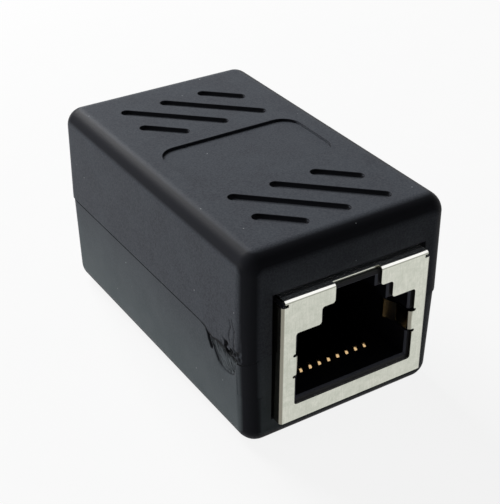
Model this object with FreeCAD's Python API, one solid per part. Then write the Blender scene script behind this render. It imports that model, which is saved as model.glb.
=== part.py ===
import FreeCAD, Part
import math
import os
from FreeCAD import Vector

# Inline coupler for two 8-way plugs: two shielded board jacks stand back to back on one circuit
# board, and a soft black body is moulded round them.
# All sizes in millimetres. +Z up, Y along the coupler, origin under its middle on the base.

# ---- Moulded body ----
body_length = 35.0
body_width = 21.3
body_height = 19.9
parting_height = 10.0
parting_step = 0.08
top_draft = 0.03
base_side_draft = 0.36
base_end_draft = 0.16
top_edge_round = 1.8
base_edge_round = 1.8
corner_round = 1.8
mouth_chamfer = 0.25
mould_gap = 0.04
plate_proud = 1.11

# ---- Pattern on the body's top ----
pattern_shift = -0.93
panel_shift = -0.78
panel_width = 15.05
panel_length = 8.35
panel_depth = 0.25
panel_round = 1.95
groove_angle = math.radians(42.7)
groove_pitch = 2.97
groove_width = 1.05
groove_depth = 0.38
groove_group_spacing = 20.14
groove_group_width = 12.4
groove_group_length = 7.3

# ---- Gate scar on the left side, placed from the front plate and down from the parting ----
scar_near = 3.45
scar_far = 6.95
scar_top_drop = 0.62
scar_bottom_drop = 3.15
scar_depth = 0.42
scar_lip_depth = 0.08
scar_round = 0.5

# ---- Stack under the jacks ----
base_skin = 1.27
tail_reach = 0.55
board_thickness = 1.0
seat_gap = 0.05

# ---- Plug cavity of a jack, measured from the plate's face and from the jack's underside ----
cavity_width = 11.9
cavity_height = 6.9
cavity_floor = 2.22
cavity_depth = 12.5
wide_key_width = 6.8
wide_key_rise = 1.72
narrow_key_width = 4.1
narrow_key_rise = 1.16
latch_wall = 1.5
latch_chamber_width = 8.2
latch_chamber_depth = 9.0
lead_in = 0.18
bridge_thickness = 0.55
jack_side_wall = 1.87
jack_web = 1.8
back_wall = 0.8

# ---- Folded shield ----
sheet = 0.27
sheet_gap = 0.03
inner_bend = 0.03
cutout_side_margin = 0.45
cutout_low_margin = 0.54
cutout_top_margin = 0.2
cutout_key_margin = 0.39
cutout_round = 0.3
top_notch_depth = 0.55
side_slit = 0.34
roof_inset = 0.28
corner_relief = 0.62
flap_lift = 0.3

# ---- Ground fingers, bent in from the cut-out's sides ----
finger_width = 1.96
finger_height = 5.9
finger_bend = 0.4
finger_straight = 1.7
finger_lean = math.radians(3)
finger_reach = 1.5
finger_dip = math.radians(24)
finger_tip = 0.5
finger_tip_bend = 0.4
finger_relief_width = 0.3
finger_relief_depth = 0.24
finger_travel = 0.45
finger_room = 0.25

# ---- Board legs of the shield and pegs of the housing ----
leg_width = 1.1
leg_place = 8.4
leg_point = 0.35
peg_diameter = 2.2
peg_place = 5.9
peg_spacing = 11.44
hole_gap = 0.08

# ---- Contacts ----
contact_count = 8
contact_pitch = 1.02
contact_width = 0.4
contact_thickness = 0.3
contact_bend = 0.5
contact_slope = math.radians(23)
contact_nose = 2.9
contact_bend_drop = 0.35
contact_arm_end = 11.3
tail_row_place = 11.0
tail_row_spacing = 2.54
slot_gap = 0.08
groove_gap = 0.03
slab_thickness = 0.62
comb_depth = 2.1
comb_height = 4.1
comb_margin = 0.65
insert_margin = 0.38
insert_height = 8.0
tail_hole = 0.8

# ---- Circuit board ----
board_margin = 0.75
board_setback = 3.0

# ---- Derived from the sizes above ----
bend_radius = inner_bend + sheet
overall_length = body_length + 2 * plate_proud
jack_depth = (overall_length - jack_web) / 2
jack_base = base_skin + tail_reach + board_thickness + seat_gap
cavity_roof = cavity_floor + cavity_height
wide_key_roof = cavity_roof + wide_key_rise
narrow_key_roof = wide_key_roof + narrow_key_rise
housing_top = narrow_key_roof + bridge_thickness
jack_height = housing_top + sheet_gap + sheet
shield_width = cavity_width + 2 * jack_side_wall
housing_width = shield_width - 2 * (sheet + sheet_gap)
housing_front = sheet + sheet_gap
housing_back = jack_depth - sheet - sheet_gap
cutout_width = cavity_width + 2 * cutout_side_margin
run_height = cavity_floor - contact_bend_drop - contact_bend
insert_top = cavity_floor - slab_thickness - groove_gap
insert_front = contact_nose - groove_gap - slot_gap
insert_width = (contact_count - 1) * contact_pitch + contact_width + 2 * insert_margin
tail_length = seat_gap + board_thickness + tail_reach
board_underside = base_skin + tail_reach
contact_places = [(i - (contact_count - 1) / 2) * contact_pitch for i in range(contact_count)]
tail_rows = [tail_row_place + tail_row_spacing * (i % 2) for i in range(contact_count)]


# ---- Drawing helpers ----
def box(x0, x1, y0, y1, z0, z1):
    return Part.makeBox(x1 - x0, y1 - y0, z1 - z0, Vector(x0, y0, z0))


def rounded_corner(before, at, after, radius):
    """Start, middle and end of the arc that rounds the corner of two runs."""
    back = Vector(*before, 0) - Vector(*at, 0)
    on = Vector(*after, 0) - Vector(*at, 0)
    back.normalize()
    on.normalize()
    half = back.getAngle(on) / 2
    reach = radius / math.tan(half)
    bisector = (back + on).normalize()
    corner = Vector(*at, 0)
    middle = corner + bisector * (radius / math.sin(half) - radius)
    ends = (corner + back * reach, middle, corner + on * reach)
    return [(p.x, p.y) for p in ends]


def outline(points, radii, place):
    """Closed wire through flat points, each corner rounded by its radius; place sets it in space."""
    count = len(points)
    marks = []
    for i, radius in enumerate(radii):
        if radius > 0:
            marks.append(rounded_corner(points[i - 1], points[i], points[(i + 1) % count], radius))
        else:
            marks.append([points[i]])
    edges = []
    for i, mark in enumerate(marks):
        if len(mark) == 3:
            edges.append(Part.Arc(*[place(*p) for p in mark]).toShape())
        start, end = place(*mark[-1]), place(*marks[(i + 1) % count][0])
        if start.distanceToPoint(end) > 1e-6:
            edges.append(Part.LineSegment(start, end).toShape())
    return Part.Wire(edges)


def prism(points, radii, place, travel):
    return Part.Face(outline(points, radii, place)).extrude(travel)


def strip_side(path, radii, offset):
    """Corners and radii of one side of a bent strip, offset to the left of its middle line."""
    runs = [Vector(q[0] - p[0], q[1] - p[1], 0).normalize() for p, q in zip(path, path[1:])]
    normals = [Vector(-run.y, run.x, 0) for run in runs]
    corners, rounds = [], []
    for i, point in enumerate(path):
        first = normals[max(i - 1, 0)]
        last = normals[min(i, len(normals) - 1)]
        shift = (first + last) * (offset / (1 + first.dot(last)))
        corners.append((point[0] + shift.x, point[1] + shift.y))
        inner = 0 < i < len(path) - 1
        turn = math.copysign(1, runs[i - 1].cross(runs[i]).z) if inner else 0
        rounds.append(radii[i] - offset * turn if inner else 0)
    return corners, rounds


def bent_strip(path, radii, thickness, place, travel):
    """Strip of even thickness along a path with bends, as wide as the travel."""
    left, left_rounds = strip_side(path, radii, thickness / 2)
    right, right_rounds = strip_side(path, radii, -thickness / 2)
    return prism(left + right[::-1], left_rounds + right_rounds[::-1], place, travel)


def flat_at(z):
    return lambda x, y: Vector(x, y, z)


def upright_at(y):
    return lambda x, z: Vector(x, y, z)


def side_at(x):
    return lambda y, z: Vector(x, y, z)


def rectangle(width, length):
    x, y = width / 2, length / 2
    return [(-x, -y), (x, -y), (x, y), (-x, y)]


def mirrored(points):
    """Outline that is the same left and right, from its right half."""
    return points + [(-x, z) for x, z in reversed(points)]


def edges_at_height(shape, z):
    return [e for e in shape.Edges if all(abs(v.Point.z - z) < 1e-4 for v in e.Vertexes)]


def rising_edges(shape):
    return [e for e in shape.Edges if abs(e.Vertexes[0].Point.z - e.Vertexes[-1].Point.z) > 1e-4]


def both_sides(shape):
    return [shape, shape.mirror(Vector(0, 0, 0), Vector(1, 0, 0))]


# ---- Jack shield ----
def cutout_outline():
    """Right half of the stepped window in the front plate."""
    low = cavity_floor - cutout_low_margin
    high = cavity_roof + cutout_top_margin
    key = wide_key_roof + cutout_top_margin
    wide = wide_key_width / 2 + cutout_key_margin
    narrow = narrow_key_width / 2 + cutout_key_margin
    half = cutout_width / 2
    above = jack_height + sheet
    return [(half, low), (half, high), (wide, high), (wide, key), (narrow, key), (narrow, above)]


def shield_wrap():
    """Front plate with both side walls, folded from one strip."""
    half = (shield_width - sheet) / 2
    back = jack_depth - sheet - sheet_gap
    middle = bend_radius - sheet / 2
    path = [(-half, back), (-half, sheet / 2), (half, sheet / 2), (half, back)]
    height = jack_height - sheet - side_slit
    return bent_strip(path, [0, middle, middle, 0], sheet, flat_at(0), Vector(0, 0, height))


def shield_roof():
    """Upper edge of the front plate, roof and rear flap, folded from one strip."""
    high = jack_height - sheet / 2
    middle = bend_radius - sheet / 2
    foot = jack_height - sheet - side_slit - corner_relief
    path = [(sheet / 2, foot), (sheet / 2, high), (jack_depth - sheet / 2, high)]
    path.append((jack_depth - sheet / 2, flap_lift))
    half = shield_width / 2 - roof_inset
    radii = [0, middle, middle, 0]
    roof = bent_strip(path, radii, sheet, side_at(-half), Vector(2 * half, 0, 0))
    inner = shield_width / 2 - corner_relief
    slot = box(inner, half + sheet, -sheet, bend_radius, foot - sheet, jack_height - bend_radius)
    for relief in both_sides(slot):
        roof = roof.cut(relief)
    return roof


def ground_finger():
    """Right-hand spring finger: bent in at the cut-out's edge, dips inward, curls out at its tip."""
    x = cutout_width / 2 - finger_bend + sheet / 2
    y = sheet / 2
    path = [(cutout_width / 2 + bend_radius, y), (x, y)]
    runs = ((finger_straight, finger_lean), (finger_reach, finger_dip), (finger_tip, -finger_dip))
    for length, lean in runs:
        x -= length * math.sin(lean)
        y += length * math.cos(lean)
        path.append((x, y))
    radii = [0, finger_bend - sheet / 2, finger_tip_bend, finger_tip_bend, 0]
    low = finger_height - finger_width / 2
    return bent_strip(path, radii, sheet, flat_at(low), Vector(0, 0, finger_width))


def finger_reliefs():
    """Small notches in the plate above and below the right-hand finger's root."""
    edge = cutout_width / 2
    notches = []
    for side in (-1, 1):
        middle = finger_height + side * (finger_width + finger_relief_width) / 2
        half = finger_relief_width / 2
        notches.append(box(edge - sheet, edge + finger_relief_depth - half,
                           -sheet, 2 * sheet, middle - half, middle + half))
        end = Vector(edge + finger_relief_depth - half, -sheet, middle)
        notches.append(Part.makeCylinder(half, 3 * sheet, end, Vector(0, 1, 0)))
    return notches


def board_leg():
    """Right-hand leg that goes down from the side wall through the board, with a blunt point."""
    near, far = leg_place - leg_width / 2, leg_place + leg_width / 2
    points = [(near, sheet), (near, leg_point - tail_length), (near + leg_point, -tail_length),
              (far - leg_point, -tail_length), (far, leg_point - tail_length), (far, sheet)]
    inner = shield_width / 2 - sheet
    return prism(points, [0] * len(points), side_at(inner), Vector(sheet, 0, 0))


def jack_shield():
    shield = shield_wrap().fuse(shield_roof())
    window = mirrored(cutout_outline())
    rounds = [cutout_round] * 5 + [0, 0] + [cutout_round] * 5
    shield = shield.cut(prism(window, rounds, upright_at(-sheet), Vector(0, 3 * sheet, 0)))
    narrow = narrow_key_width / 2 + cutout_key_margin
    shield = shield.cut(box(-narrow, narrow, -sheet, top_notch_depth,
                            wide_key_roof + sheet, jack_height + sheet))
    for notch in finger_reliefs():
        for piece in both_sides(notch):
            shield = shield.cut(piece)
    for part in (ground_finger(), board_leg()):
        for piece in both_sides(part):
            shield = shield.fuse(piece)
    return shield.removeSplitter()


# ---- Jack housing ----
def plug_cavity():
    """Plug space with the stepped keyway, and the chamber where the latch springs up."""
    half, wide, narrow = cavity_width / 2, wide_key_width / 2, narrow_key_width / 2
    right = [(half, cavity_floor), (half, cavity_roof), (wide, cavity_roof), (wide, wide_key_roof),
             (narrow, wide_key_roof), (narrow, narrow_key_roof)]
    mouth = mirrored(right)
    depth = cavity_depth - housing_front
    cavity = prism(mouth[:2] + mouth[-2:], [0] * 4, upright_at(housing_front), Vector(0, depth, 0))
    key = prism(mouth, [0] * len(mouth), upright_at(housing_front), Vector(0, latch_wall, 0))
    chamber = latch_chamber_width / 2
    latch = box(-chamber, chamber, housing_front + latch_wall, latch_chamber_depth,
                cavity_floor, narrow_key_roof)
    return cavity.fuse(key).fuse(latch)


def contact_slots():
    """Slots through the cavity floor, where the contacts come up and can be pressed down."""
    half = contact_width / 2 + slot_gap
    end = cavity_depth - groove_gap
    start = contact_nose - slot_gap
    high = cavity_floor + comb_height + slot_gap
    return [box(x - half, x + half, start, end, insert_top, high) for x in contact_places]


def insert_space():
    half = insert_width / 2 + groove_gap
    low = box(-half, half, insert_front, jack_depth, -sheet, insert_top + groove_gap)
    rear = box(-half, half, cavity_depth + back_wall, jack_depth, -sheet, insert_height + groove_gap)
    return low.fuse(rear)


def finger_pocket():
    """Space in the right-hand cavity wall that the ground finger is pressed into."""
    inner = cavity_width / 2 - sheet
    outer = cutout_width / 2 - finger_bend + sheet + finger_travel
    end = sheet + finger_straight + finger_reach + finger_tip + finger_room
    half = finger_width / 2 + finger_room
    return box(inner, outer, 0, end, finger_height - half, finger_height + half)


def comb():
    half = insert_width / 2 + comb_margin
    return box(-half, half, cavity_depth - comb_depth, cavity_depth + groove_gap,
               cavity_floor - groove_gap, cavity_floor + comb_height)


def mouth_edges(shape):
    """Edges of the plug opening on the housing's front face."""
    half = housing_width / 2 - sheet
    found = []
    for edge in shape.Edges:
        ends = [v.Point for v in edge.Vertexes]
        on_front = all(abs(p.y - housing_front) < 1e-5 for p in ends)
        inside = all(abs(p.x) < half and sheet < p.z < housing_top - sheet for p in ends)
        if on_front and inside:
            found.append(edge)
    return found


def jack_housing():
    half = housing_width / 2
    housing = box(-half, half, housing_front, housing_back, 0, housing_top)
    housing = housing.cut(plug_cavity())
    housing = housing.makeChamfer(lead_in, mouth_edges(housing))
    housing = housing.fuse(comb()).cut(insert_space())
    housing = housing.cut(Part.makeCompound(contact_slots()))
    for pocket in both_sides(finger_pocket()):
        housing = housing.cut(pocket)
    for x in (-peg_spacing / 2, peg_spacing / 2):
        length = seat_gap + board_thickness
        housing = housing.fuse(Part.makeCylinder(peg_diameter / 2, length, Vector(x, peg_place, -length)))
    return housing.removeSplitter()


# ---- Contact insert and contacts ----
def contact_insert():
    """Carrier: a tray with a groove under each contact, and an upright that closes the back."""
    half = insert_width / 2
    tray = box(-half, half, insert_front + groove_gap, housing_back, 0, insert_top)
    upright = box(-half, half, cavity_depth + back_wall + groove_gap, housing_back, 0, insert_height)
    insert = tray.fuse(upright)
    wide = contact_width / 2 + groove_gap
    thick = contact_thickness / 2 + groove_gap
    cuts = []
    for x, row in zip(contact_places, tail_rows):
        cuts.append(box(x - wide, x + wide, 0, row + thick, run_height - thick, insert_top + sheet))
        cuts.append(box(x - wide, x + wide, row - contact_bend, row + thick,
                        run_height - contact_bend - thick, insert_top + sheet))
        cuts.append(box(x - wide, x + wide, row - thick, row + thick, -sheet, insert_top + sheet))
    return insert.cut(Part.makeCompound(cuts)).removeSplitter()


def contact(x, row):
    """Formed strip: tail through the board, run under the floor, nose bend, sloping spring arm."""
    turn = math.pi - contact_slope
    centre = contact_nose + contact_bend + contact_thickness / 2
    bend_point = centre - contact_bend * math.tan(turn / 2)
    rise = (contact_arm_end - bend_point) * math.tan(contact_slope)
    path = [(row, -tail_length), (row, run_height), (bend_point, run_height),
            (contact_arm_end, run_height + rise)]
    radii = [0, contact_bend, contact_bend, 0]
    place = side_at(x - contact_width / 2)
    return bent_strip(path, radii, contact_thickness, place, Vector(contact_width, 0, 0))


# ---- Circuit board ----
def board_openings():
    """Holes of one jack: contact tails, housing pegs and shield legs, in the jack's own place."""
    low = -seat_gap - 2 * board_thickness
    high = 3 * board_thickness
    openings = [Part.makeCylinder(tail_hole / 2, high, Vector(x, row, low))
                for x, row in zip(contact_places, tail_rows)]
    radius = peg_diameter / 2 + hole_gap
    leg_x = shield_width / 2 - sheet / 2
    for side in (-1, 1):
        openings.append(Part.makeCylinder(radius, high, Vector(side * peg_spacing / 2, peg_place, low)))
        x = side * leg_x
        thick = sheet / 2 + hole_gap
        wide = leg_width / 2 + hole_gap
        openings.append(box(x - thick, x + thick, leg_place - wide, leg_place + wide, low, low + high))
    return openings


def circuit_board():
    half = shield_width / 2 + board_margin
    end = overall_length / 2 - board_setback
    board = box(-half, half, -end, end, board_underside, board_underside + board_thickness)
    openings = Part.makeCompound(board_openings())
    for place in jack_places.values():
        board = board.cut(place(openings))
    return board


# ---- Moulded body ----
def body_half(low, high, low_insets, high_insets):
    """Half of the body's outer form between two heights, with drafted walls and rounded corners."""
    x0, y0 = body_width / 2 - low_insets[0], body_length / 2 - low_insets[1]
    x1, y1 = body_width / 2 - high_insets[0], body_length / 2 - high_insets[1]
    wedge = Part.makeWedge(-x0, low, -y0, -y1, -x1, x0, high, y0, y1, x1)
    half = wedge.rotated(Vector(0, 0, 0), Vector(1, 0, 0), 90)
    return half.makeFillet(corner_round, rising_edges(half))


def body_form():
    upper = body_half(parting_height, body_height, (0, 0), (top_draft, top_draft))
    upper = upper.makeFillet(top_edge_round, edges_at_height(upper, body_height))
    lower = body_half(0, parting_height, (base_side_draft, base_end_draft), (parting_step, parting_step))
    lower = lower.makeFillet(base_edge_round, edges_at_height(lower, 0))
    return upper.fuse(lower)


def jack_pocket():
    """Space of one jack in the body: its box, its chamfered mouth, and its tails and legs."""
    half = shield_width / 2 + mould_gap
    top = jack_height + mould_gap
    front = plate_proud - body_length
    pocket = box(-half, half, front, jack_depth + mould_gap, -mould_gap, top)
    rims = []
    for y, grow in ((plate_proud - mouth_chamfer, 2 * mouth_chamfer), (plate_proud + mouth_chamfer, 0)):
        wide = half + grow
        low, high = -mould_gap - grow, top + grow
        points = [(-wide, low), (wide, low), (wide, high), (-wide, high)]
        rims.append(outline(points, [0] * 4, upright_at(y)))
    pocket = pocket.fuse(Part.makeLoft(rims, True, True))
    low = -tail_length - mould_gap
    wide = contact_width / 2 + mould_gap
    thick = contact_thickness / 2 + mould_gap
    for x, row in zip(contact_places, tail_rows):
        pocket = pocket.fuse(box(x - wide, x + wide, row - thick, row + thick, low, 0))
    leg = leg_width / 2 + mould_gap
    leg_x = shield_width / 2
    leg_room = box(leg_x - sheet - mould_gap, leg_x + mould_gap, leg_place - leg, leg_place + leg, low, 0)
    for room in both_sides(leg_room):
        pocket = pocket.fuse(room)
    return pocket


def board_pocket():
    half = shield_width / 2 + board_margin + mould_gap
    end = overall_length / 2 - board_setback + mould_gap
    top = board_underside + board_thickness + mould_gap
    return box(-half, half, -end, end, board_underside - mould_gap, top)


def label_panel():
    points = [(x, y + panel_shift) for x, y in rectangle(panel_width, panel_length)]
    floor = body_height - panel_depth
    return prism(points, [panel_round] * 4, flat_at(floor), Vector(0, 0, 2 * panel_depth))


def groove(offset, group_y):
    """Round-ended groove on a slanted line, as long as its group's rectangle lets it be."""
    along = Vector(math.cos(groove_angle), -math.sin(groove_angle), 0)
    across = Vector(math.sin(groove_angle), math.cos(groove_angle), 0)
    middle = across * offset
    reach_x = groove_group_width / 2
    reach_y = groove_group_length / 2
    start = max((-reach_x - middle.x) / along.x, (reach_y - middle.y) / along.y)
    end = min((reach_x - middle.x) / along.x, (-reach_y - middle.y) / along.y)
    half = groove_width / 2
    centre = Vector(0, group_y, body_height - groove_depth) + middle
    first, last = centre + along * (start + half), centre + along * (end - half)
    side = across * half
    edges = [Part.LineSegment(first + side, last + side).toShape(),
             Part.Arc(last + side, last + along * half, last - side).toShape(),
             Part.LineSegment(last - side, first - side).toShape(),
             Part.Arc(first - side, first - along * half, first + side).toShape()]
    return Part.Face(Part.Wire(edges)).extrude(Vector(0, 0, 2 * groove_depth))


def grooves():
    found = []
    for side in (-1, 1):
        group_y = pattern_shift + side * groove_group_spacing / 2
        for step in (-1.5, -0.5, 0.5, 1.5):
            found.append(groove(step * groove_pitch, group_y))
    return found


def gate_scar():
    """Torn hollow left by the moulding's gate: deepest under its upper edge, thinning downward."""
    front, side = -overall_length / 2, -body_width / 2
    near, far = front + scar_near, front + scar_far
    high, low = parting_height - scar_top_drop, parting_height - scar_bottom_drop
    slant = (high - low) / 3
    points = [(near, high - slant / 2), (far, high), (far, high - slant), (far - slant, low),
              (near, low + slant)]
    hollow = prism(points, [scar_round] * 5, side_at(side - scar_depth), Vector(3 * scar_depth, 0, 0))
    floor = [(side - scar_depth, low), (side + scar_lip_depth, low), (side + scar_depth, high),
             (side - scar_depth, high)]
    return hollow.common(prism(floor, [0] * 4, upright_at(near), Vector(0, far - near, 0)))


def moulded_body():
    body = body_form()
    for place in jack_places.values():
        body = body.cut(place(jack_pocket()))
    body = body.cut(board_pocket()).cut(label_panel())
    return body.cut(Part.makeCompound(grooves())).cut(gate_scar())


# ---- Places of the two jacks ----
def front_place(shape):
    return shape.translated(Vector(0, -overall_length / 2, jack_base))


def rear_place(shape):
    return front_place(shape).rotated(Vector(0, 0, 0), Vector(0, 0, 1), 180)


jack_places = {"front": front_place, "rear": rear_place}


def write(name, shape):
    shape.exportStep(os.path.join("parts", name + ".step"))


os.makedirs("parts", exist_ok=True)
write("moulded_body", moulded_body())
write("circuit_board", circuit_board())
shield, housing, insert = jack_shield(), jack_housing(), contact_insert()
for end, place in jack_places.items():
    write(end + "_jack_shield", place(shield))
    write(end + "_jack_housing", place(housing))
    write(end + "_contact_insert", place(insert))
    for number, (x, row) in enumerate(zip(contact_places, tail_rows), start=1):
        write(f"{end}_contact_{number}", place(contact(x, row)))
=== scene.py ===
import math

import bmesh
import bpy
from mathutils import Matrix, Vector, geometry, noise


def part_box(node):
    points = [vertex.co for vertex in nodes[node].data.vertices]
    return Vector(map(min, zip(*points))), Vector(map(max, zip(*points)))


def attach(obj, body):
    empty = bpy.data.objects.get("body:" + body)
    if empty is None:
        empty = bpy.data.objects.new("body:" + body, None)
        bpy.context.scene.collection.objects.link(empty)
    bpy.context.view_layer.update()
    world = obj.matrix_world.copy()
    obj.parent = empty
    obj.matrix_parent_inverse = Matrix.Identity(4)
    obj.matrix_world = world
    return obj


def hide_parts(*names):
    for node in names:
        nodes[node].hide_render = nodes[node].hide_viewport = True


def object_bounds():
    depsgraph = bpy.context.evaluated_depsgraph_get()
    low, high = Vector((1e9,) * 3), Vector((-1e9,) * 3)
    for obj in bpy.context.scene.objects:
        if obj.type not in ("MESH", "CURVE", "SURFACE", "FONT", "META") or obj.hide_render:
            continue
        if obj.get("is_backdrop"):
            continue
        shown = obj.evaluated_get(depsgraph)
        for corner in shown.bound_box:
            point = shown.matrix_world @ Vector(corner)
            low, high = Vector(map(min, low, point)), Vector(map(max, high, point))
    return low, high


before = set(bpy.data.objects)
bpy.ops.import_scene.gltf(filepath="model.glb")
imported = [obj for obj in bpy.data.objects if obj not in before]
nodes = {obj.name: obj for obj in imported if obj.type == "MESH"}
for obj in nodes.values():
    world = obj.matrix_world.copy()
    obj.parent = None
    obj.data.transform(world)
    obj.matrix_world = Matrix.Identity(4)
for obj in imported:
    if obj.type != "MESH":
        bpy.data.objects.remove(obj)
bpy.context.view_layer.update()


# ---- Moulded body ----
# One piece of soft black PVC, moulded round both jacks in a two-part mould. Where the plastic was
# fed in, beside the front corner, the runner was torn off and took a leaf of the lower half along.
# The mesh is the frame's own, with the recesses on the top rounded and the torn corner worked out.
mm = 0.001
hair = 0.0005 * mm
parting = 10.0 * mm
corner_x, corner_y, corner_radius = 8.85 * mm, 15.70 * mm, 1.80 * mm
lower_step = 0.08 * mm
# Millimetres that the walls go in for each millimetre away from the parting line.
lower_lean, front_lean, upper_lean = 0.036, 0.016, 0.003
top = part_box("moulded_body")[1].z
side_x = -corner_x - corner_radius
up = Vector((0, 0, 1))


def joined(node):
    """Copy of a frame node's mesh with its facets welded together."""
    shape = bmesh.new()
    shape.from_mesh(nodes[node].data)
    bmesh.ops.remove_doubles(shape, verts=shape.verts, dist=2 * hair)
    shape.normal_update()
    return shape


def parts_of(faces):
    """The faces with their edges and corners, each once and in order."""
    edges = [edge for face in faces for edge in face.edges]
    verts = [vert for face in faces for vert in face.verts]
    return list(faces) + list(dict.fromkeys(edges)) + list(dict.fromkeys(verts))


def make_whole(shape, faces):
    """Merges the facets of flat faces."""
    parts = parts_of(faces)
    bmesh.ops.dissolve_limit(shape, angle_limit=math.radians(0.3),
                             verts=[p for p in parts if isinstance(p, bmesh.types.BMVert)],
                             edges=[p for p in parts if isinstance(p, bmesh.types.BMEdge)])


def rings_of(edges):
    """Closed rings of vertices that the edges make, in order."""
    left = {edge.index: edge for edge in edges}
    rings = []
    while left:
        path = list(left.pop(min(left)).verts)
        while len(path) > 1:
            if path[-1] in path[:-1]:
                start = path.index(path[-1])
                rings.append(path[start:-1])
                path = path[:start + 1]
            else:
                edge = next(e for e in path[-1].link_edges if e.index in left)
                left.pop(edge.index)
                path.append(edge.other_vert(path[-1]))
    return rings


def rounded(depth, rim, foot, steps=3):
    """Offsets outward and depths down the wall of a recess with a rounded rim and foot."""
    turns = [math.pi / 2 * k / steps for k in range(steps + 1)]
    rows = [(rim * (1 - math.sin(t)), rim * (1 - math.cos(t))) for t in turns]
    return rows + [(-foot * (1 - math.cos(t)), depth - foot * (1 - math.sin(t))) for t in turns]


def sink(shape, ring, rows):
    """Recess inside a ring on the top face; returns its rim."""
    points = [vert.co.xy.copy() for vert in ring]
    if sum(a.cross(b) for a, b in zip(points, points[1:] + points[:1])) < 0:
        points.reverse()
    count = len(points)
    ahead = [(points[(i + 1) % count] - points[i - 1]).normalized() for i in range(count)]
    made = [[shape.verts.new((p.x + a.y * offset, p.y - a.x * offset, top - depth))
             for p, a in zip(points, ahead)] for offset, depth in rows]
    for upper, lower in zip(made, made[1:]):
        for i in range(count):
            shape.faces.new((upper[i - 1], upper[i], lower[i], lower[i - 1]))
    shape.faces.new(made[-1])
    for i in range(count):
        shape.edges.get((made[0][i - 1], made[0][i])).smooth = False
    return made[0]


# The top is taken off, and put back round recesses that have a soft rim and foot. The rings of
# the recesses have rounded ends, so they have more corners than the outlines do.
panel_wall = rounded(0.25 * mm, 0.03 * mm, 0.05 * mm)
groove_wall = rounded(0.38 * mm, 0.08 * mm, 0.26 * mm)
panel_reach = 7 * mm
most_outline_corners = 40
body = joined("moulded_body")
flat_top = [f for f in body.faces if min(v.co.z for v in f.verts) > top - hair]
bmesh.ops.delete(body, geom=flat_top, context="FACES")
body.edges.index_update()
rings = rings_of([e for e in body.edges if e.is_boundary])
recesses = [ring for ring in rings if len(ring) > most_outline_corners]
outlines = sorted((ring for ring in rings if len(ring) <= most_outline_corners),
                  key=lambda ring: max(v.co.x for v in ring) - min(v.co.x for v in ring))
walls = {}
for ring in recesses:
    stack = [f for v in ring for f in v.link_faces]
    while stack:
        face = stack.pop()
        if face not in walls:
            walls[face] = True
            stack.extend(f for e in face.edges for f in e.link_faces)
rims = []
for ring in recesses:
    is_panel = max(vert.co.x for vert in ring) > panel_reach
    rims.append(sink(body, ring, panel_wall if is_panel else groove_wall))
bmesh.ops.delete(body, geom=list(walls), context="FACES")
around = [outlines.pop()] + rims
for ring in outlines:
    body.faces.new(ring)
rim_verts = [vert for ring in around for vert in ring]
for triangle in geometry.tessellate_polygon([[vert.co for vert in ring] for ring in around]):
    body.faces.new([rim_verts[i] for i in triangle])

# The plain hollow of the frame's body is closed here and torn open again further down.
hollow_near, hollow_far = -15.3 * mm, -11.5 * mm
hollow_low, hollow_high = 6.7 * mm, 9.5 * mm
hollow_inmost, wall_margin = -9.5 * mm, 0.004 * mm
hollow = []
for face in body.faces:
    middle = face.calc_center_median()
    wall_x = side_x + lower_step + lower_lean * (parting - middle.z)
    if (hollow_near < middle.y < hollow_far and hollow_low < middle.z < hollow_high
            and wall_x + wall_margin < middle.x < hollow_inmost):
        hollow.append(face)
bmesh.ops.delete(body, geom=hollow, context="FACES")
body.edges.index_update()
for ring in rings_of([e for e in body.edges if e.is_boundary]):
    body.faces.new(ring)
body.normal_update()
wrong = [f for f in body.faces if (f.normal.z < -0.9 and f.calc_center_median().z > top - hair)
         or (f.normal.x > 0.9 and f.calc_center_median().x < side_x + 0.5 * mm)]
bmesh.ops.reverse_faces(body, faces=wrong)
corner_reach = -8.2 * mm
make_whole(body, [f for f in body.faces if f.calc_center_median().x < corner_reach])


def outward(at):
    """Level direction out of the body's side at a point."""
    way = Vector((max(abs(at.x) - corner_x, 0), max(abs(at.y) - corner_y, 0), 0))
    return Vector((math.copysign(way.x, at.x), math.copysign(way.y, at.y), 0)).normalized()


def cut(shape, parts, place, normal):
    """Cuts the parts along a plane, and returns them with what the cut added."""
    return bmesh.ops.bisect_plane(shape, geom=parts, dist=hair / 10, plane_co=place,
                                  plane_no=normal)["geom"]


# The parting line: the lower half stands back under the upper one, with a notch beneath the lip.
# Painted shade darkens it a little way up and down from there.
notch_height, notch_depth, shade_spread = 0.20 * mm, 0.14 * mm, 0.05 * mm
shell_x, shell_y = 9 * mm, 17.3 * mm
for level in (parting + shade_spread, parting - notch_height, parting - notch_height - shade_spread):
    shell = [f for f in body.faces
             if any(abs(v.co.x) > shell_x or abs(v.co.y) > shell_y for v in f.verts)
             and min(v.co.z for v in f.verts) < level < max(v.co.z for v in f.verts)]
    cut(body, parts_of(shell), up * level, up)

# The torn corner gets a fine grid, and its middle a finer one.
near, far, bottom, ceiling = -17.6 * mm, -7.9 * mm, 5.4 * mm, 13.4 * mm
coarse_step, fine_step = 0.1 * mm, 0.05 * mm
fine_limits = (-16.0 * mm, -10.8 * mm, 6.5 * mm, 10.9 * mm)
corner = parts_of([f for f in body.faces if max(v.co.x for v in f.verts) < corner_reach])
for place, normal in (((0, far, 0), (0, 1, 0)), ((0, 0, bottom), (0, 0, 1)),
                      ((0, 0, ceiling), (0, 0, 1))):
    corner = cut(body, corner, Vector(place), Vector(normal))


def chosen(parts, low_y, high_y, low_z, high_z):
    """Parts of the faces that lie within the limits."""
    faces = []
    for face in parts:
        if isinstance(face, bmesh.types.BMFace):
            middle = face.calc_center_median()
            if low_y < middle.y < high_y and low_z < middle.z < high_z:
                faces.append(face)
    return parts_of(faces)


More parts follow.
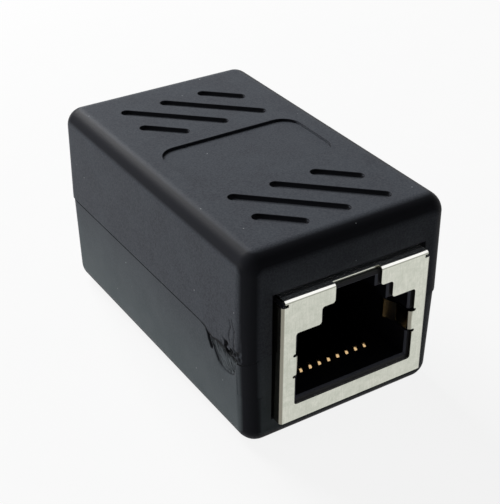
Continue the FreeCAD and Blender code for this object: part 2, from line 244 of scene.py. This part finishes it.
for step, limits in ((coarse_step, (near, far, bottom, ceiling)), (fine_step, fine_limits)):
    corner = chosen(corner, *limits)
    for low, high, normal in ((limits[0], limits[1], Vector((0, 1, 0))),
                              (limits[2], limits[3], up)):
        for k in range(math.ceil(low / step), math.floor(high / step) + 1):
            corner = cut(body, corner, normal * (k * step), normal)
body.normal_update()


def along(line, at):
    """Height of an open line at a distance along the side."""
    for (a, b), (c, d) in zip(line, line[1:]):
        if at <= c:
            return b + (d - b) * max(0, (at - a) / (c - a))
    return line[-1][1]


def nearness(line, point, width):
    """1 on an open line, falling to 0 beside it."""
    place = Vector((*point, 0))
    gaps = []
    for a, b in zip(line, line[1:]):
        start, end = Vector((*a, 0)), Vector((*b, 0))
        share = geometry.intersect_point_line(place, start, end)[1]
        gaps.append((place - start.lerp(end, min(max(share, 0), 1))).length)
    return math.exp(-(min(gaps) / width) ** 2)


def smooth(low, high, value):
    """Soft step from 0 to 1."""
    share = min(max((value - low) / (high - low), 0), 1)
    return share * share * (3 - 2 * share)


# Lines of the torn corner, as millimetres along the side, round the corner, and up. The parting
# line dips to the tear; the leaf hangs under it, the hook is the crack beside the leaf, and the
# flow lines are weld marks in the upper half.
seam_line = [(8.6, 10.0), (9.7, 9.97), (10.4, 9.86), (10.96, 9.62), (11.5, 9.38), (12.0, 9.27),
             (12.6, 9.36), (13.3, 9.42), (14.3, 9.2), (15.0, 9.12), (15.7, 9.0), (16.5, 9.1),
             (17.5, 9.5), (18.5, 9.9), (19.0, 10.0)]
leaf_line = [(11.3, 9.2), (11.61, 8.77), (12.16, 7.98), (12.71, 7.21), (13.2, 6.95), (13.76, 6.82),
             (14.4, 6.9), (14.9, 7.1), (15.3, 7.4), (15.6, 8.5), (15.9, 9.0)]
hook_line = [(10.9, 9.62), (11.12, 9.2), (11.22, 8.78), (11.58, 8.13)]
flow_lines = [[(15.3, 13.1), (15.42, 12.5), (15.5, 12.3)],
              [(15.55, 12.2), (15.64, 11.6), (15.5, 11.0), (15.52, 10.4)],
              [(14.9, 12.9), (14.95, 12.2), (14.75, 11.3), (14.9, 10.5)]]
# The *_dark values set how dark shade is painted into the flow marks, pits, leaf outline and
# streaks; the gash values set the band of painted shadow under the upper half's edge.
flow_width, flow_depth, flow_dark, flow_sway = 0.07, 0.05, 0.65, 0.25
hook_width, hook_depth = 0.15, 0.35
pit_depth, pit_share, pit_dark = 0.5, 0.22, 3.2
ripple_depth = 0.02
gash_width, gash_growth, gash_uneven = 0.3, 0.35, 0.15
rim_height, rim_width, rim_depth, rim_dark = 0.3, 0.36, 0.13, 0.65
leaf_depth, leaf_thin, streak_depth, fine_depth = 0.42, 0.05, 0.07, 0.03
streak_width, streak_length, streak_dark = 0.16, 1.4, 0.85
dip_reach = 3
tear_end = 17


def above_tear(at_side, height, seam, gash):
    """Depth in millimetres and painted shade of the upper half's marks beside the tear."""
    depth = dark = 0
    sway = flow_sway * noise.noise(Vector((height / 0.7, 3.3, 1.1)))
    for line in flow_lines:
        mark = nearness(line, (at_side + sway, height), flow_width)
        depth += flow_depth * mark
        dark = max(dark, flow_dark * mark)
    fade = smooth(13.2, 14.2, at_side) * (1 - smooth(15.9, 16.6, at_side))
    fade *= 1 - smooth(0.4, 1.5, height - seam)
    pits = max(0, noise.noise(Vector((at_side / 0.5, height / 0.35, 0.7))) + pit_share)
    depth += pit_depth * pits * fade
    edge = gash_width + gash_growth * smooth(12.3, 14.5, at_side)
    edge += gash_uneven * noise.noise(Vector((at_side / 0.45, 1.5, 4.0)))
    ripple = noise.noise(Vector((at_side / 0.5, height / 1.6, 5.0)))
    depth += (ripple_depth * (1 + ripple) * smooth(11.5, 13, at_side)
              * (1 - smooth(2, 3, height - seam)))
    return depth, max(dark, min(1, pit_dark * pits * fade),
                      gash * (1 - smooth(edge / 2, edge, height - seam)))


def below_tear(at_side, height, seam, gash):
    """Depth in millimetres, painted shade and share of painted light of the lower half's tear."""
    mark = nearness(hook_line, (at_side, height), hook_width)
    depth = hook_depth * mark
    dark = max(mark, gash * smooth(-0.05 - 0.10 * gash, -0.03, height - seam))
    floor = along(leaf_line, at_side)
    if not (leaf_line[0][0] < at_side < leaf_line[-1][0] and height > floor - 0.3):
        return depth, dark, 0
    share = min(max((height - floor) / max(seam - floor, 0.05), 0), 1)
    ends = smooth(11.3, 11.9, at_side) * (1 - smooth(15.4, 15.9, at_side))
    rim = math.exp(-((height - floor - rim_height) / rim_width) ** 2)
    across, down = (at_side + height) / streak_width, (at_side - height) / streak_length
    streak = noise.noise(Vector((across, down, 2.0)))
    fine = noise.noise(Vector((across * 2.3, down * 1.6, 9.0)))
    cover = smooth(0, 0.12, share)
    outline = rim * (1 - smooth(12.6, 13.8, at_side)) * (0.55 + 0.9 * streak)
    depth += ends * (rim_depth * rim + leaf_depth * share ** 4
                     + cover * (leaf_thin + streak_depth * streak + fine_depth * fine))
    dark = max(dark, ends * rim_dark * outline,
               ends * smooth(0.70, 0.84, share + 0.2 * fine) * smooth(11.6, 13.0, at_side),
               ends * cover * streak_dark * smooth(0.0, 0.3, streak))
    return depth, dark, ends * cover


wall_x = 10 * mm
painted_shade = body.verts.layers.float.new("painted_shade")
torn = body.verts.layers.float.new("torn")
lower_half = body.verts.layers.float.new("lower_half")
for vert in body.verts:
    at = vert.co
    on_side = abs(at.x) > wall_x or abs(at.y) > shell_y
    if not on_side and not (abs(at.x) > corner_x and abs(at.y) > corner_y):
        continue
    way = outward(at)
    level = abs(at.z - parting) < hair
    upper = at.z > parting + hair or (level and any(f.calc_center_median().z > parting + hair
                                                    for f in vert.link_faces))
    vert[lower_half] = 0.0 if upper else 1.0
    in_corner = at.y < far and at.x < corner_reach and bottom < at.z < ceiling
    # The facets of the corner's fillet are put back on the round.
    if in_corner and at.x < -corner_x and at.y < -corner_y:
        axis = Vector((-corner_x, -corner_y, at.z))
        if upper:
            axis += Vector((1, 1, 0)) * upper_lean * (at.z - parting)
        else:
            axis += (Vector((1, 1, 0)) * lower_step
                     + Vector((lower_lean, front_lean, 0)) * (parting - at.z))
        spoke = at - axis
        spoke.z = 0
        if spoke.x < 0 and spoke.y < 0:
            vert.co = axis + spoke.normalized() * corner_radius
    # The notch is shallow on the end faces, and its painted shade fades out there.
    below = parting - at.z
    if not upper and below < notch_height + hair:
        plain = smooth(0.2, 0.8, abs(way.y))
        vert.co -= way * notch_depth * (1 - below / notch_height) * (1 - 0.8 * plain)
        vert[painted_shade] = 1 - plain
    elif level:
        vert[painted_shade] = 0.4
    if not in_corner:
        continue
    # Everything near the parting line follows it down to the tear.
    if at.y > -corner_y:
        at_side = -at.y / mm
    elif at.x < -corner_x:
        at_side = corner_y / mm + corner_radius / mm * math.atan2(-way.y, -way.x)
    else:
        at_side = corner_y / mm + corner_radius / mm * math.pi / 2 + (at.x + corner_x) / mm
    height = at.z / mm
    level_height = parting / mm
    seam = sum(along(seam_line, at_side + shift) for shift in (-0.2, 0, 0.2)) / 3
    fall = max(0, 1 - ((height - level_height) / dip_reach) ** 2) ** 2
    drop = (level_height - seam) * fall * mm
    lean = 0 if upper else lower_lean * abs(way.x) + front_lean * abs(way.y)
    vert.co -= up * drop + way * lean * drop
    height -= drop / mm
    if at_side < tear_end:
        gash = smooth(9.6, 11.2, at_side) * (1 - smooth(15.9, 16.3, at_side))
        if upper:
            depth, dark = above_tear(at_side, height, seam, gash)
        else:
            depth, dark, vert[torn] = below_tear(at_side, height, seam, gash)
        vert[painted_shade] = max(vert[painted_shade], dark)
        vert.co -= way * max(depth, 0) * mm
body.normal_update()


def linear(colour):
    """Linear red, green, blue and alpha of an sRGB hex colour."""
    parts = [int(colour[i:i + 2], 16) / 255 for i in (1, 3, 5)]
    return [p / 12.92 if p <= 0.04045 else ((p + 0.055) / 1.055) ** 2.4 for p in parts] + [1.0]


def add(tree, kind, inputs=None, **settings):
    """Adds a node with its settings; each input is a value or another node's output."""
    made = tree.nodes.new("ShaderNode" + kind)
    for name, value in settings.items():
        setattr(made, name, value)
    for name, value in (inputs or {}).items():
        socket = made.inputs[name]
        if isinstance(value, bpy.types.NodeSocket):
            tree.links.new(value, socket)
        else:
            socket.default_value = value
    return made


def new_material(name):
    """Empty node material, its tree, its object coordinates and the socket for its surface."""
    material = bpy.data.materials.new(name)
    material.use_nodes = True
    tree = material.node_tree
    tree.nodes.clear()
    surface = add(tree, "OutputMaterial").inputs["Surface"]
    return material, tree, add(tree, "TexCoord").outputs["Object"], surface


def facing(tree):
    """How far the surface faces along each axis, and the largest of the three."""
    normal = add(tree, "NewGeometry").outputs["Normal"]
    size = add(tree, "VectorMath", {0: normal}, operation="ABSOLUTE").outputs[0]
    axes = add(tree, "SeparateXYZ", {0: size}).outputs
    flat = add(tree, "Math", {0: axes[0], 1: axes[1]}, operation="MAXIMUM").outputs[0]
    return axes, add(tree, "Math", {0: flat, 1: axes[2]}, operation="MAXIMUM").outputs[0]


def fit(shape, node, material):
    """Makes the piece that stands for a frame node, smooth except at its real edges."""
    for edge in shape.edges:
        edge.smooth = edge.smooth and edge.calc_face_angle(0) < math.radians(38)
    for face in shape.faces:
        face.smooth = True
    mesh = bpy.data.meshes.new(node + "_skin")
    shape.to_mesh(mesh)
    mesh.materials.append(material)
    piece = bpy.data.objects.new(node + "_skin", mesh)
    bpy.context.scene.collection.objects.link(piece)
    piece.modifiers.new("even_shading", "WEIGHTED_NORMAL").keep_sharp = True
    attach(piece, "root")
    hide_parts(node)


# Plasticised PVC from a spark-eroded mould: a fine matt grain that holds dust. Painted shade
# darkens its edges, fillets and crevices; painted light brightens the lower half towards the
# bottom, and the torn leaf. The real grain is finer than 0.16 mm; it is drawn coarser so that it
# shows.
soft_pvc, tree, place, surface = new_material("moulded_soft_pvc")
grain = add(tree, "TexNoise", {"Vector": place, "Scale": 1 / (0.16 * mm), "Detail": 3.0,
                               "Roughness": 0.6}).outputs["Fac"]
cloud = add(tree, "TexNoise", {"Vector": place, "Scale": 1 / (3.0 * mm),
                               "Detail": 2.0}).outputs["Fac"]
dust = add(tree, "MapRange", {"Value": cloud, "From Min": 0.35, "From Max": 0.65}).outputs[0]
bump = add(tree, "Bump", {"Strength": 0.4, "Distance": 0.03 * mm, "Height": grain}).outputs[0]
upper_face = add(tree, "Mix", {0: dust, 6: linear("#383a40"), 7: linear("#3c3f45")},
                 data_type="RGBA").outputs[2]
# Painted light from the pale table: the lower half is mixed towards this lighter, greener colour
# towards its bottom.
bounce_lit_face = add(tree, "Mix", {0: dust, 6: linear("#4b5355"), 7: linear("#535a5c")},
                 data_type="RGBA").outputs[2]
half = add(tree, "Attribute", attribute_name="lower_half").outputs["Fac"]
height = add(tree, "SeparateXYZ", {0: place}).outputs[2]
painted_bounce_light = add(tree, "MapRange", {"Value": height, "From Min": 10.0 * mm, "From Max": 1.0 * mm,
                                 "To Min": 0.15, "To Max": 1.0}).outputs[0]
half = add(tree, "Math", {0: half, 1: painted_bounce_light}, operation="MULTIPLY").outputs[0]
dust_and_bounce_light = add(tree, "Mix", {0: half, 6: upper_face, 7: bounce_lit_face}, data_type="RGBA").outputs[2]
speckled = add(tree, "MapRange", {"Value": grain, "From Min": 0.35, "From Max": 0.7,
                                  "To Min": 0.0, "To Max": 0.5}).outputs[0]
face = add(tree, "Mix", {0: speckled, 6: dust_and_bounce_light, 7: linear("#565a5e")},
           data_type="RGBA").outputs[2]
# Painted shade: fillets and rounded edges are painted darker, except on the torn leaf.
flat = facing(tree)[1]
fillet_shade = add(tree, "MapRange", {"Value": flat, "From Min": 0.997, "From Max": 0.90},
             interpolation_type="SMOOTHSTEP").outputs[0]
# Painted light: the torn leaf is painted paler, and gets no painted fillet shade.
torn_share = add(tree, "Attribute", attribute_name="torn").outputs["Fac"]
fillet_shade = add(tree, "Math", {0: fillet_shade, 1: torn_share}, operation="SUBTRACT",
             use_clamp=True).outputs[0]
painted_edge_shading = add(tree, "Mix", {0: fillet_shade, 6: face, 7: linear("#1d1e22")}, data_type="RGBA").outputs[2]
torn_light_share = add(tree, "Math", {0: torn_share, 1: 0.4}, operation="MULTIPLY").outputs[0]
torn_lit_colour = add(tree, "Mix", {0: torn_light_share, 6: painted_edge_shading, 7: linear("#5d6265")}, data_type="RGBA").outputs[2]
# Painted shade: the seam, and the marks, pits, gash and crevices of the torn corner, are painted
# nearly black.
gap = add(tree, "Attribute", attribute_name="painted_shade").outputs["Fac"]
gap = add(tree, "Math", {0: gap, 1: 0.9}, operation="MULTIPLY").outputs[0]
colour = add(tree, "Mix", {0: gap, 6: torn_lit_colour, 7: linear("#08090a")}, data_type="RGBA").outputs[2]
motes = add(tree, "TexVoronoi", {"Vector": place, "Scale": 1 / (2.2 * mm), "Randomness": 1.0})
mote = add(tree, "MapRange", {"Value": motes.outputs["Distance"], "From Min": 0.034,
                              "From Max": 0.022}).outputs[0]
colour = add(tree, "Mix", {0: mote, 6: colour, 7: linear("#8e9294")}, data_type="RGBA").outputs[2]
skin = add(tree, "BsdfPrincipled", {"Base Color": colour, "Roughness": 0.42, "IOR": 1.53,
                                    "Specular IOR Level": 0.02, "Normal": bump})
tree.links.new(skin.outputs["BSDF"], surface)
fit(body, "moulded_body", soft_pvc)


# ---- Jack shields ----
# Each is folded from one thin brass sheet, stamped with the plug window and two ground fingers
# that bend back into the opening. Two legs go down through the board, and the body holds the rest.
def softened(node, radius, segments=2):
    """Copy of a node's mesh with its sharp edges rounded."""
    shape = joined(node)
    make_whole(shape, shape.faces)
    shape.normal_update()
    edges = [e for e in shape.edges
             if len(e.link_faces) == 2 and e.calc_face_angle() > math.radians(40)]
    bmesh.ops.bevel(shape, geom=edges, offset=radius, segments=segments, profile=0.5,
                    affect="EDGES", clamp_overlap=True)
    return shape


# Nickel-plated brass: a warm bright metal with faint upright rolling lines. Painted dark
# reflections cover the side bends and walls, and bends that turn up or down get a painted dark
# band under a painted highlight. Real rolling lines are finer and are drawn coarser here.
nickel, tree, place, surface = new_material("nickel_plated_sheet")
line_width, line_length = 0.12 * mm, 2 * mm
rolled = add(tree, "Mapping", {"Vector": place,
                               "Scale": (1 / line_width, 1 / line_width, 1 / line_length)})
lines = add(tree, "TexNoise", {"Vector": rolled.outputs[0], "Scale": 1.0,
                               "Detail": 2.0}).outputs["Fac"]
rough = add(tree, "MapRange", {"Value": lines, "To Min": 0.14, "To Max": 0.22}).outputs[0]
bump = add(tree, "Bump", {"Strength": 0.1, "Distance": 0.01 * mm, "Height": lines}).outputs[0]
axes = facing(tree)[0]
# Painted reflections: side bends and walls are painted darker; on bends that turn up or down, a
# painted dark band lies below a painted highlight.
side_bend_shade = add(tree, "MapRange", {"Value": axes[0], "From Min": 0.12, "From Max": 0.5},
           interpolation_type="SMOOTHSTEP").outputs[0]
shaded = add(tree, "MapRange", {"Value": axes[2], "From Min": 0.05, "From Max": 0.3},
             interpolation_type="SMOOTHSTEP").outputs[0]
painted_highlight = add(tree, "MapRange", {"Value": axes[2], "From Min": 0.35, "From Max": 0.6},
               interpolation_type="SMOOTHSTEP").outputs[0]
mottle = add(tree, "TexNoise", {"Vector": place, "Scale": 1 / (0.7 * mm), "Detail": 4.0,
                                "Roughness": 0.7}).outputs["Fac"]
mottle = add(tree, "MapRange", {"Value": mottle, "From Min": 0.35, "From Max": 0.65}).outputs[0]
tone = add(tree, "Mix", {0: mottle, 6: linear("#cbcec1"), 7: linear("#dcddd1")},
           data_type="RGBA").outputs[2]
streaked = add(tree, "MapRange", {"Value": lines, "From Min": 0.3, "From Max": 0.7,
                                  "To Min": 0.0, "To Max": 0.35}).outputs[0]
for share, shade in ((streaked, "#bdbfb2"), (shaded, "#97988b"), (painted_highlight, "#fbfbf6"),
                     (side_bend_shade, "#8b887c")):
    tone = add(tree, "Mix", {0: share, 6: tone, 7: linear(shade)}, data_type="RGBA").outputs[2]
plate = add(tree, "BsdfPrincipled", {"Base Color": tone, "Metallic": 1.0, "Roughness": rough,
                                     "Normal": bump})
tree.links.new(plate.outputs["BSDF"], surface)
for end in ("front", "rear"):
    fit(softened(end + "_jack_shield", 0.03 * mm), end + "_jack_shield", nickel)

# ---- Jack housings and contact inserts ----
# Black glass-filled PBT, injection moulded. The housing slides into its shield and stands on the
# board by two pegs; the insert behind the plug cavity carries the contacts.
# The plastic is hard and slightly glossy, with a painted highlight on its rounded edges and a
# faint unevenness.
hard_plastic, tree, place, surface = new_material("moulded_pbt")
grain = add(tree, "TexNoise", {"Vector": place, "Scale": 1 / (0.3 * mm),
                               "Detail": 2.0}).outputs["Fac"]
bump = add(tree, "Bump", {"Strength": 0.15, "Distance": 0.02 * mm, "Height": grain}).outputs[0]
tone = add(tree, "Mix", {0: grain, 6: linear("#141419"), 7: linear("#19191f")},
           data_type="RGBA").outputs[2]
# Painted highlight: rounded edges are painted paler.
flat = facing(tree)[1]
painted_edge_shading = add(tree, "MapRange", {"Value": flat, "From Min": 0.97, "From Max": 0.80}).outputs[0]
tone = add(tree, "Mix", {0: painted_edge_shading, 6: tone, 7: linear("#50525c")}, data_type="RGBA").outputs[2]
shell = add(tree, "BsdfPrincipled", {"Base Color": tone, "Roughness": 0.35, "IOR": 1.57,
                                     "Specular IOR Level": 0.08, "Normal": bump})
tree.links.new(shell.outputs["BSDF"], surface)
for end in ("front", "rear"):
    fit(softened(end + "_jack_housing", 0.08 * mm), end + "_jack_housing",
        hard_plastic)
    fit(softened(end + "_contact_insert", 0.04 * mm), end + "_contact_insert",
        hard_plastic)

# ---- Contacts ----
# Formed strips of phosphor bronze, eight to a jack. They are held in the insert and rise at a
# slant through the housing's comb; only the tips in the plug's reach are plated with gold.
# Gold over rolled strip is smooth and warm; the bare bronze deeper in is duller, and is painted
# dark brown as shade inside the cavity.
gold, tree, place, surface = new_material("gold_plated_bronze")
spots = add(tree, "TexNoise", {"Vector": place, "Scale": 1 / (0.4 * mm),
                               "Detail": 2.0}).outputs["Fac"]
rough = add(tree, "MapRange", {"Value": spots, "To Min": 0.10, "To Max": 0.2}).outputs[0]
distance = add(tree, "SeparateXYZ", {0: place}).outputs[1]
distance = add(tree, "Math", {0: distance}, operation="ABSOLUTE").outputs[0]
# Selective plating, with painted shade: the bare part deeper in the cavity is painted dark.
plated_and_unshaded = add(tree, "MapRange", {"Value": distance, "From Min": 15.1 * mm,
                                "From Max": 15.3 * mm}).outputs[0]
tone = add(tree, "Mix", {0: plated_and_unshaded, 6: linear("#2b2722"), 7: linear("#dcb988")},
           data_type="RGBA").outputs[2]
wire = add(tree, "BsdfPrincipled", {"Base Color": tone, "Metallic": 1.0, "Roughness": rough})
tree.links.new(wire.outputs["BSDF"], surface)
for end in ("front", "rear"):
    for number in range(1, 9):
        node = f"{end}_contact_{number}"
        fit(softened(node, 0.12 * mm, 4), node, gold)

# ---- Circuit board ----
# Glass epoxy laminate under green solder resist. It links the two jacks, carries them both, and
# lies wholly inside the body. The printed resist is smooth, with a faint cloudiness of its weave.
resist, tree, place, surface = new_material("solder_resist")
weave = add(tree, "TexNoise", {"Vector": place, "Scale": 1 / (0.6 * mm)}).outputs["Fac"]
tone = add(tree, "Mix", {0: weave, 6: linear("#12402a"), 7: linear("#1a5236")},
           data_type="RGBA").outputs[2]
board = add(tree, "BsdfPrincipled", {"Base Color": tone, "Roughness": 0.35})
tree.links.new(board.outputs["BSDF"], surface)
fit(softened("circuit_board", 0.03 * mm), "circuit_board", resist)


# ---- Table, light and camera ----
# A pale matt painted table in a light tent. The soft lamps stand behind and at the left, and
# little light comes from the front. The lens sees table and tent as white, with the shadow kept.
def seen_directly(tree):
    """1 for what the lens sees, also in a reflection or through glass."""
    path = add(tree, "LightPath").outputs
    seen = add(tree, "Math", {0: path["Is Camera Ray"], 1: path["Is Glossy Ray"]},
               operation="MAXIMUM").outputs[0]
    return add(tree, "Math", {0: seen, 1: path["Is Transmission Ray"]},
               operation="MAXIMUM").outputs[0]


table_material, tree, place, surface = new_material("pale_table")
speck = add(tree, "TexNoise", {"Vector": place, "Scale": 1 / (4 * mm)}).outputs["Fac"]
tone = add(tree, "Mix", {0: speck, 6: linear("#c0c0c0"), 7: linear("#c6c6c6")},
           data_type="RGBA").outputs[2]
paint = add(tree, "BsdfDiffuse", {"Color": tone}).outputs[0]
glow = add(tree, "Emission", {"Color": linear("#ffffff"), "Strength": 1.0}).outputs[0]
share = add(tree, "Math", {0: seen_directly(tree), 1: 0.88}, operation="MULTIPLY").outputs[0]
mixed = add(tree, "MixShader", {0: share, 1: paint, 2: glow})
tree.links.new(mixed.outputs[0], surface)

bpy.ops.mesh.primitive_plane_add(size=3.0, location=(0, 0, 0))
table_top = bpy.context.object
table_top.name = "table_top"
table_top.data.materials.append(table_material)
table_top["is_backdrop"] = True

world = bpy.data.worlds.new("light_tent")
bpy.context.scene.world = world
world.use_nodes = True
tree = world.node_tree
tree.nodes.clear()
wall = add(tree, "Background", {"Color": linear("#ffffff"), "Strength": 1.0}).outputs[0]
dim = add(tree, "Background", {"Color": linear("#f4f8ff"), "Strength": 0.03}).outputs[0]
mixed = add(tree, "MixShader", {0: seen_directly(tree), 1: dim, 2: wall})
tree.links.new(mixed.outputs[0], add(tree, "OutputWorld").inputs["Surface"])

# Each lamp's place and size in metres, and its power in watts.
aim = Vector((0, 0, 10 * mm))
lamps = {"back": ((-0.04, 0.31, 0.25), 0.20, 2.6), "left": ((-0.39, 0.16, 0.06), 0.20, 1.1)}
for name, (at, size, power) in lamps.items():
    lamp = bpy.data.lights.new("lamp_" + name, "AREA")
    lamp.size = size
    lamp.energy = power
    holder = bpy.data.objects.new("lamp_" + name, lamp)
    holder.location = at
    holder.rotation_euler = (aim - Vector(at)).to_track_quat("-Z", "Y").to_euler()
    bpy.context.scene.collection.objects.link(holder)

camera = bpy.data.cameras.new("camera")
camera.lens = 85.02
camera.sensor_width = 36.0
camera.clip_start = 0.005
holder = bpy.data.objects.new("camera", camera)
holder.location = (-0.05320, -0.08472, 0.07060)
target = Vector((0.00021, -0.00101, 0.00876))
holder.rotation_euler = (target - holder.location).to_track_quat("-Z", "Y").to_euler()
holder.rotation_euler.rotate_axis("Z", math.radians(0.23))
bpy.context.scene.collection.objects.link(holder)
bpy.context.scene.camera = holder
bpy.context.scene.view_settings.view_transform = "Standard"

low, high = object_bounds()
